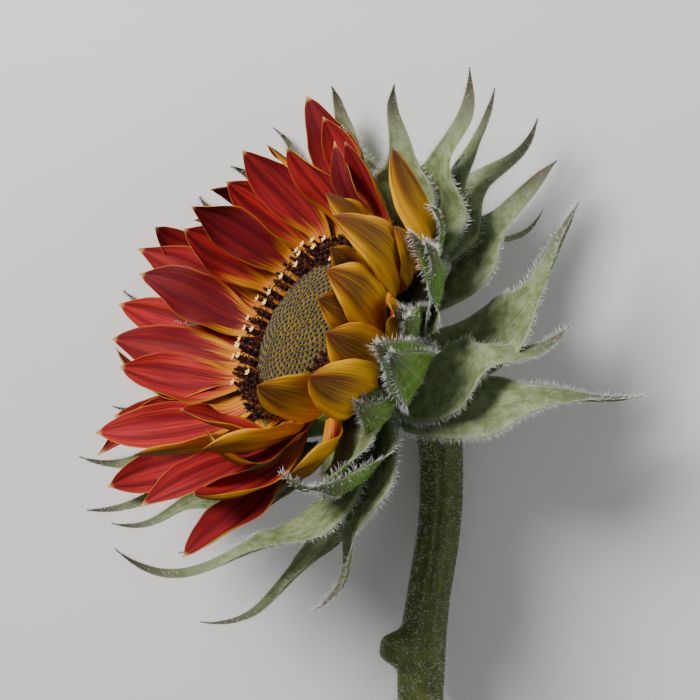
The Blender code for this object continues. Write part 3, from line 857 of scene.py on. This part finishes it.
def lathe(profile, sides, petals=0, depth=0.0, phase=0.0):
    """Closed rings from a profile of radius and height; depth cuts lobes into the wider rings."""
    points = []
    angles = np.linspace(0, 2 * math.pi, sides, endpoint=False)
    for radius, height, lobed in profile:
        reach = radius * (1 - lobed * depth * 0.5 * (1 + np.cos(petals * angles + phase)))
        points.append(np.stack([reach * np.cos(angles), reach * np.sin(angles), np.full(sides, height)], -1))
    points = np.concatenate(points)
    count = len(profile)
    faces = tube_faces(count, sides)
    first = len(points)
    points = np.vstack([points, (0.0, 0.0, profile[0][1]), (0.0, 0.0, profile[-1][1])])
    for k in range(sides):
        after = (k + 1) % sides
        faces.append((first, after, k))
        faces.append((first + 1, (count - 1) * sides + k, (count - 1) * sides + after))
    return points, faces


def scatter(name, parts, material):
    """Join many small closed shapes into one piece, with their values."""
    points, faces, values, start = [], [], {}, 0
    for spots, polygons, numbers in parts:
        points.append(spots)
        faces += [tuple(index + start for index in face) for face in polygons]
        start += len(spots)
        for key, value in numbers.items():
            values.setdefault(key, []).append(np.broadcast_to(value, len(spots)))
    return put_mesh(name, np.concatenate(points), faces, [material],
                    values={key: np.concatenate(value) for key, value in values.items()})


def upright(spot, lean, spin):
    """Axes of a small shape that stands at a spot and leans outward by an angle."""
    azimuth = math.atan2(spot[1], spot[0])
    out = np.array((math.cos(azimuth), math.sin(azimuth), 0.0))
    up = math.sin(lean) * out + math.cos(lean) * np.array((0, 0, 1.0))
    side = np.cross(up, out)
    side /= np.linalg.norm(side)
    fore = np.cross(side, up)
    return np.stack([math.cos(spin) * fore + math.sin(spin) * side,
                     math.cos(spin) * side - math.sin(spin) * fore, up])


def disc_pieces(material):
    """The disc's floor and its unopened florets in a sunflower spiral."""
    profile = [(0.90, -1.2, 0), (0.98, -0.2, 0.4), (0.92, 0.42, 0.7), (0.76, 0.80, 0.8), (0.62, 0.86, 0.6),
               (0.50, 0.66, 0.4), (0.38, 0.20, 0.2), (0.20, -0.05, 0.0)]
    rings = np.array([1.0, 0.95, 0.85, 0.62, 0.50, 0.34, 0.2, 0.1])
    parts = []
    for index in range(BUD_COUNT):
        radius = DISC_RADIUS * math.sqrt((index + 0.5) / BUD_COUNT)
        azimuth = index * GOLDEN_ANGLE
        size = 0.98 * (0.86 + 0.16 * radius / DISC_RADIUS) * rng.uniform(0.94, 1.06)
        spots, faces = lathe(profile, 10, 5, 0.16, rng.uniform(0, 6))
        spots = spots * np.array((size, size, size * (0.9 + 0.5 * radius / DISC_RADIUS)))
        spot = np.array((radius * math.cos(azimuth), radius * math.sin(azimuth), dome_height(radius) - 0.55))
        axes = upright(spot, 0.25 * (radius / DISC_RADIUS) ** 2 + rng.uniform(-0.06, 0.06), rng.uniform(0, 6))
        ring = np.concatenate([np.repeat(rings, 10), [1.0, 0.0]])
        parts.append((spots @ axes + spot, faces, {"ring": ring, "tint": rng.uniform(0, 1)}))
    buds = scatter("disc_buds", parts, material)
    rows = [(DISC_RADIUS * share, float(dome_height(DISC_RADIUS * share)) - 1.0, 0) for share in
            (1.0, 0.9, 0.75, 0.55, 0.35, 0.15)]
    spots, faces = lathe([(DISC_RADIUS, -6.0, 0)] + rows, DISC_SIDES)
    put_mesh("disc_floor", spots, faces, [material],
             values={"ring": np.full(len(spots), 0.2), "tint": np.full(len(spots), 0.1)})
    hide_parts("disc")


def lobes(length, width, lift, count, phase, base_radius, base_height):
    """A flower's corolla lobes: thin closed pointed leaves round a mouth."""
    points, faces = [], []
    for number in range(count):
        azimuth = phase + 2 * math.pi * number / count
        out = np.array((math.cos(azimuth), math.sin(azimuth), 0.0))
        side = np.array((-math.sin(azimuth), math.cos(azimuth), 0.0))
        start = len(points)
        for share, wide in ((0.0, 0.8), (0.4, 1.0), (0.75, 0.6), (1.0, 0.08)):
            drop = lift * share - 0.5 * length * share ** 2
            centre = out * (base_radius + length * share) + np.array((0, 0, base_height + drop))
            for sign, thick in ((-1, 0), (0, 0.13), (1, 0), (0, -0.13)):
                points.append(centre + side * sign * wide * width * 0.5 + np.array((0, 0, thick)))
        for row in range(3):
            for k in range(4):
                a, b = start + row * 4 + k, start + row * 4 + (k + 1) % 4
                faces.append((a, b, b + 4, a + 4))
        faces.append((start + 3, start + 2, start + 1, start))
        faces.append((start + 12, start + 13, start + 14, start + 15))
    return np.array(points), faces


def ring_pieces(tube_material, anther_material, stigma_material):
    """Three rows of open florets round the disc: tubes, lobes, anther columns and stigmas."""
    tubes, anthers, stigmas = [], [], []
    for row, (radius, height) in enumerate(RING_ROWS):
        count = round(2 * math.pi * radius / RING_SPACING)
        for index in range(count):
            azimuth = 2 * math.pi * (index + 0.5 * (row % 2)) / count + rng.uniform(-0.02, 0.02)
            reach = radius + rng.uniform(-0.4, 0.4)
            foot = np.array((reach * math.cos(azimuth), reach * math.sin(azimuth), RING_FOOT_HEIGHT))
            axes = upright(foot, rng.uniform(-0.02, 0.10) + 0.09 * (row - 1), rng.uniform(0, 6))
            tall = height - RING_FOOT_HEIGHT + rng.uniform(-0.5, 0.6)
            tint = rng.uniform(0, 1)
            spots, faces = lathe([(0.75, 0.0, 0), (0.80, tall * 0.4, 0), (0.72, tall * 0.62, 0),
                                  (0.82, tall * 0.85, 0.3), (0.98, tall, 0.6), (0.70, tall - 0.25, 0.3)],
                                 10, 5, 0.25)
            level = np.concatenate([np.repeat([0, 0.4, 0.6, 0.85, 1.0, 0.7], 10), [0, 0.7]])
            tubes.append((spots @ axes + foot, faces, {"level": level, "tint": tint}))
            spots, faces = lobes(rng.uniform(0.9, 1.25), 0.85, rng.uniform(0.5, 0.95), 5,
                                 rng.uniform(0, 6), 0.72, tall)
            tubes.append((spots @ axes + foot, faces, {"level": 1.0, "tint": tint}))
            top = tall + rng.uniform(1.2, 2.6)
            spots, faces = lathe([(0.42, tall - 0.6, 0), (0.52, tall + 0.3, 0), (0.50, top - 0.4, 0.3),
                                  (0.26, top, 0.5)], 8, 5, 0.3)
            level = np.concatenate([np.repeat([0, 0.4, 0.8, 1.0], 8), [0, 1.0]])
            anthers.append((spots @ axes + foot, faces, {"level": level, "tint": tint}))
            degrees_round = math.degrees(azimuth) % 360
            bright = BRIGHT_ARC[0] < degrees_round < BRIGHT_ARC[1]
            if rng.uniform() < (BRIGHT_CHANCE if bright else OTHER_CHANCE):
                size = BRIGHT_SIZE if bright else 1.0
                spots, faces = lobes(0.58 * size, 0.62 * size, 0.62 * size, 5,
                                     rng.uniform(0, 6), 0.10, top + 0.02)
                stigmas.append((spots @ axes + foot, faces, {"level": 1.0, "tint": 0.0}))
                spots, faces = lathe([(0.16, top - 0.2, 0), (0.26 * size, top + 0.12, 0),
                                      (0.12, top + 0.34 * size, 0)], 7)
                stigmas.append((spots @ axes + foot, faces, {"level": 0.9, "tint": 0.0}))
    tube = scatter("ring_tubes", tubes, tube_material)
    scatter("ring_anthers", anthers, anther_material)
    scatter("ring_stigmas", stigmas, stigma_material)
    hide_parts("floret_ring")


def cup_piece(material):
    """The receptacle: a ribbed green cup, closed on top under the florets."""
    top = CUP_PROFILE[0][1] + 0.1
    profile = [(0.5, top), (20.0, top), *CUP_PROFILE, (7.0, -32.2)]
    dense = []
    for (r0, h0), (r1, h1) in zip(profile, profile[1:]):
        for step in range(4):
            dense.append((r0 + (r1 - r0) * step / 4, h0 + (h1 - h0) * step / 4, 0))
    dense.append((*profile[-1], 0))
    spots, faces = lathe(dense[::-1], CUP_SIDES)
    angle = np.arctan2(spots[:, 1], spots[:, 0])
    rib = 1 + 0.014 * np.sin(21 * angle + 0.25 * spots[:, 2]) * np.clip((-7 - spots[:, 2]) / 6, 0, 1)
    spots[:, :2] *= rib[:, None]
    piece = put_mesh("receptacle_cup", spots, faces, [material])
    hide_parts("receptacle")


def stem_frames(steps):
    """Centres, radii and cross axes along the stem."""
    route = smooth_route(STEM_ROUTE, STEM_RADII, steps)
    centres = np.array([tuple(spot) for spot, _ in route])
    radii = np.array([radius for _, radius in route])
    ahead = np.gradient(centres, axis=0)
    ahead /= np.linalg.norm(ahead, axis=1)[:, None]
    side = np.array((1.0, 0.0, 0.0))
    frames = []
    for forward in ahead:
        side = side - (side @ forward) * forward
        side /= np.linalg.norm(side)
        frames.append((side.copy(), np.cross(forward, side)))
    return centres, radii, ahead, frames


def stem_surface(share, angle, radius):
    """Radius of the stem's ribbed, dented skin."""
    rib = 0.20 * np.sin(9 * angle + 2.2 * share) + 0.10 * np.sin(17 * angle - 5.0 * share)
    dent = 0.22 * np.sin(13.0 * share + 2 * angle) * np.sin(7.0 * share - angle)
    swell = STEM_NODE_HEIGHT * np.exp(-((share - STEM_NODE_AT) / STEM_NODE_REACH) ** 4)
    return radius + rib + dent + swell * np.clip(np.cos(angle - STEM_NODE_SIDE), 0, 1) ** 4


def stem_pieces(skin, pith):
    """The ribbed stem with its node, and the pale pith of its cut end."""
    centres, radii, ahead, frames = stem_frames(FINE_STEM_STEPS)
    sides = 72
    angles = np.linspace(0, 2 * math.pi, sides, endpoint=False)
    rings = []
    for index, (centre, radius, (side, other)) in enumerate(zip(centres, radii, frames)):
        share = index / (len(centres) - 1)
        reach = stem_surface(share, angles, radius)[:, None]
        rings.append(centre + reach * (np.cos(angles)[:, None] * side + np.sin(angles)[:, None] * other))
    inset = []
    for share, depth in ((0.86, 0.0), (0.80, 0.35), (0.45, 0.55)):
        inset.append(centres[-1] + (rings[-1] - centres[-1]) * share - ahead[-1] * depth)
    points = np.concatenate(rings + inset + [centres[:1], centres[-1:] - ahead[-1] * 0.6])
    count = len(rings) + len(inset)
    faces = tube_faces(count, sides)
    slots = [1 if row >= len(rings) - 1 else 0 for row in range(count - 1) for _ in range(sides)]
    for k in range(sides):
        after = (k + 1) % sides
        faces.append((count * sides, after, k))
        faces.append((count * sides + 1, (count - 1) * sides + k, (count - 1) * sides + after))
        slots += [0, 1]
    piece = put_mesh("stem_skin", points, faces, [skin, pith], slots)
    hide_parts("stem")


# ---------------------------------------------------------------------------------------------
# Hairs
# ---------------------------------------------------------------------------------------------

def hair_piece(name, roots, directions, lengths, material):
    """Curved three-sided bristles, each one closed body."""
    roots, directions = np.asarray(roots), np.asarray(directions)
    directions = directions / np.linalg.norm(directions, axis=1)[:, None]
    count = len(roots)
    helper = np.where(np.abs(directions[:, 2:3]) < 0.9, np.array([[0, 0, 1.0]]), np.array([[1.0, 0, 0]]))
    side = np.cross(directions, helper)
    side /= np.linalg.norm(side, axis=1)[:, None]
    other = np.cross(directions, side)
    bend = rng.uniform(-0.45, 0.45, (count, 2))
    bow = side * bend[:, :1] + other * bend[:, 1:]
    lengths = np.asarray(lengths)[:, None]
    rings = []
    for share, thick in ((0.0, 1.0), (0.5, 0.7)):
        centre = (roots + directions * lengths * share + bow * lengths * share ** 2
                  - directions * 0.12 * (1 - share))
        for k in range(3):
            angle = 2 * math.pi * k / 3
            rings.append(centre + (math.cos(angle) * side + math.sin(angle) * other) * HAIR_WIDTH * thick)
    tip = roots + directions * lengths + bow * lengths
    points = np.stack(rings + [tip], axis=1).reshape(-1, 3)
    start = (np.arange(count) * 7)[:, None]
    quads = [start + np.array([[k, (k + 1) % 3, 3 + (k + 1) % 3, 3 + k]]) for k in range(3)]
    tops = [start + np.array([[3 + k, 3 + (k + 1) % 3, 6]]) for k in range(3)]
    foot = start + np.array([[2, 1, 0]])
    faces = [tuple(face) for block in quads for face in block.tolist()]
    faces += [tuple(face) for block in tops + [foot] for face in block.tolist()]
    level = np.tile([0, 0, 0, 0.5, 0.5, 0.5, 1.0], count)
    put_mesh(name, points, faces, [material], values={"level": level})


def bract_hairs(surface, fringe, down):
    """Add a bract's margin bristles to the fringe and the short hairs of its two faces to the down."""
    point, normal = surface
    for column, beside in ((0, 1), (-1, -2)):
        line = point[:, column]
        marks = np.concatenate([[0], np.cumsum(np.linalg.norm(np.diff(line, axis=0), axis=1))])
        outward = line - point[:, beside]
        outward /= np.maximum(np.linalg.norm(outward, axis=1)[:, None], 1e-6)
        ahead = np.gradient(line, axis=0)
        ahead /= np.maximum(np.linalg.norm(ahead, axis=1)[:, None], 1e-6)
        for place in np.arange(0.5, marks[-1], FRINGE_STEP):
            place += rng.uniform(-0.2, 0.2)
            index = min(int(np.searchsorted(marks, place)), len(line) - 1)
            fringe[0].append([np.interp(place, marks, line[:, k]) for k in range(3)])
            fringe[1].append(outward[index] + 0.45 * ahead[index] - 0.25 * normal[index, column]
                             + rng.normal(0, 0.22, 3))
            fringe[2].append(rng.uniform(1.0, 2.6))
    for _ in range(DOWN_PER_BRACT):
        row, column = rng.uniform(0, point.shape[0] - 1.01), rng.uniform(0, point.shape[1] - 1.01)
        i, j = int(row), int(column)
        ahead, beside = point[i + 1, j] - point[i, j], point[i, j + 1] - point[i, j]
        spot = point[i, j] + ahead * (row - i) + beside * (column - j)
        ahead = ahead / max(np.linalg.norm(ahead), 1e-6)
        face = -1.0 if rng.uniform() < 0.72 else 1.0
        down[0].append(spot + face * 0.2 * normal[i, j])
        down[1].append(face * normal[i, j] + 0.7 * ahead + rng.normal(0, 0.25, 3))
        down[2].append(rng.uniform(0.4, 1.2))


def stem_hairs(material):
    """Bristles all round the stem."""
    centres, radii, ahead, frames = stem_frames(FINE_STEM_STEPS)
    roots, directions, lengths = [], [], []
    for _ in range(STEM_HAIRS):
        place = rng.uniform(1, len(centres) - 1.001)
        index = int(place)
        angle = rng.uniform(0, 2 * math.pi)
        side, other = frames[index]
        out = math.cos(angle) * side + math.sin(angle) * other
        share = place / (len(centres) - 1)
        centre = centres[index] + (centres[index + 1] - centres[index]) * (place - index)
        roots.append(centre + out * (stem_surface(share, angle, radii[index]) - 0.05))
        directions.append(out - 0.25 * ahead[index] + rng.normal(0, 0.28, 3))
        lengths.append(rng.uniform(0.6, 2.4))
    hair_piece("stem_bristles", roots, directions, lengths, material)


# ---------------------------------------------------------------------------------------------
# Studio
# ---------------------------------------------------------------------------------------------

def head_point(spot):
    """A head-frame point in the world, in metres."""
    return Vector(HEAD_TURN @ (np.asarray(spot) * MM) + HEAD_ORIGIN)


def head_direction(direction):
    return Vector(HEAD_TURN @ np.asarray(direction, float)).normalized()


def camera():
    """The camera, square on to the side of the head that faces up and away from the surface."""
    towards = head_direction(VIEW_FROM)
    up = head_direction(VIEW_UP)
    up = (up - up.dot(towards) * towards).normalized()
    right = up.cross(towards)
    data = bpy.data.cameras.new("camera")
    data.lens = CAMERA_LENS
    data.sensor_width = 36.0
    data.clip_start, data.clip_end = 0.01, 20.0
    eye = bpy.data.objects.new("camera", data)
    spot = head_point(VIEW_CENTRE) + towards * CAMERA_DISTANCE
    eye.matrix_world = Matrix((
        (right.x, up.x, towards.x, spot.x), (right.y, up.y, towards.y, spot.y),
        (right.z, up.z, towards.z, spot.z), (0, 0, 0, 1)))
    bpy.context.scene.collection.objects.link(eye)
    bpy.context.scene.camera = eye
    return right, up, towards


def area_light(name, spot, target, size, power, colour):
    data = bpy.data.lights.new(name, "AREA")
    data.shape, data.size, data.energy, data.color = "DISK", size, power, colour
    lamp = bpy.data.objects.new(name, data)
    lamp.location = spot
    lamp.rotation_euler = (Vector(target) - Vector(spot)).to_track_quat("-Z", "Y").to_euler()
    bpy.context.scene.collection.objects.link(lamp)


def studio(right, up, towards):
    """A plain pale floor, a large soft key from the upper left, a weak fill and a pale sky."""
    mesh = bpy.data.meshes.new("floor")
    reach = FLOOR_REACH
    corners = [(-reach, -reach, 0), (reach, -reach, 0), (reach, reach, 0), (-reach, reach, 0)]
    mesh.from_pydata(corners, [], [(0, 1, 2, 3)])
    floor = bpy.data.objects.new("floor", mesh)
    look = Shade("floor_look", 0.9)
    grain = look.noise(look.world(), 0.02, 3.0)
    mesh.materials.append(look.finish(look.mix(grain, FLOOR_GREY, FLOOR_PALE)))
    bpy.context.scene.collection.objects.link(floor)
    aim = head_point(VIEW_CENTRE)
    for name, (across, above, ahead), size, power, colour in LIGHTS:
        area_light(name, aim + right * across + up * above + towards * ahead, aim, size, power, colour)
    world = bpy.data.worlds.new("studio")
    world.use_nodes = True
    world.node_tree.nodes["Background"].inputs[0].default_value = (*SKY_COLOUR, 1.0)
    world.node_tree.nodes["Background"].inputs[1].default_value = SKY_STRENGTH
    bpy.context.scene.world = world


# ---------------------------------------------------------------------------------------------
# Everything together
# ---------------------------------------------------------------------------------------------

blades = make_blades(RAYS, BRACTS)
settle(blades, SETTLE_ROUNDS)
small_blades = make_blades(SMALL_RAYS, SMALL_BRACTS + NEAR_BRACTS, "small_")
settle(in_order(blades + small_blades), SMALL_ROUNDS, held=blades)

found = find_head()
HEAD_TURN = np.array(found.to_3x3())
HEAD_ORIGIN = np.array(found.translation)

ray_looks = [ray_material("ray_face", True), ray_material("ray_back", False)]
bract_looks = [bract_material("bract_face", True), bract_material("bract_back", False)]
hair_look = hair_material()
fringe, down = ([], [], []), ([], [], [])
for blade in by_name(blades) + by_name(small_blades):
    looks = ray_looks if blade.kind == "ray" else bract_looks
    piece, surface = blade_piece(blade, "fine_" + blade.name, looks, rng.uniform(0, 1, 7))
    if blade in blades:
        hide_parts(blade.name)
    if blade.kind == "bract":
        bract_hairs(surface, fringe, down)
for name, (roots, directions, lengths) in (("bract_fringe", fringe), ("bract_down", down)):
    hair_piece(name, roots, directions, lengths, hair_look)

disc_pieces(bud_material())
ring_pieces(floret_material("tube_look", FLORET_ORANGE, FLORET_DARK, 0.45, 0.85, 0.5),
            floret_material("anther_look", ANTHER_BLACK, FLORET_DARK, 0.3, 1.0, 0.35),
            floret_material("stigma_look", FLORET_ORANGE, STIGMA_CREAM, 0.2, 0.7, 0.55))
cup_piece(flesh_material("cup_look", BRACT_LEAF, BRACT_SAGE, BRACT_DEEP, 0.4, 0.62))
stem_pieces(flesh_material("stem_skin_look", STEM_OLIVE, STEM_GREEN, STEM_BROWN, 0.3, 0.55),
            flesh_material("stem_pith_look", PITH_PALE, PITH_GREEN, PITH_WARM, 0.9, 0.75))
stem_hairs(hair_look)
studio(*camera())
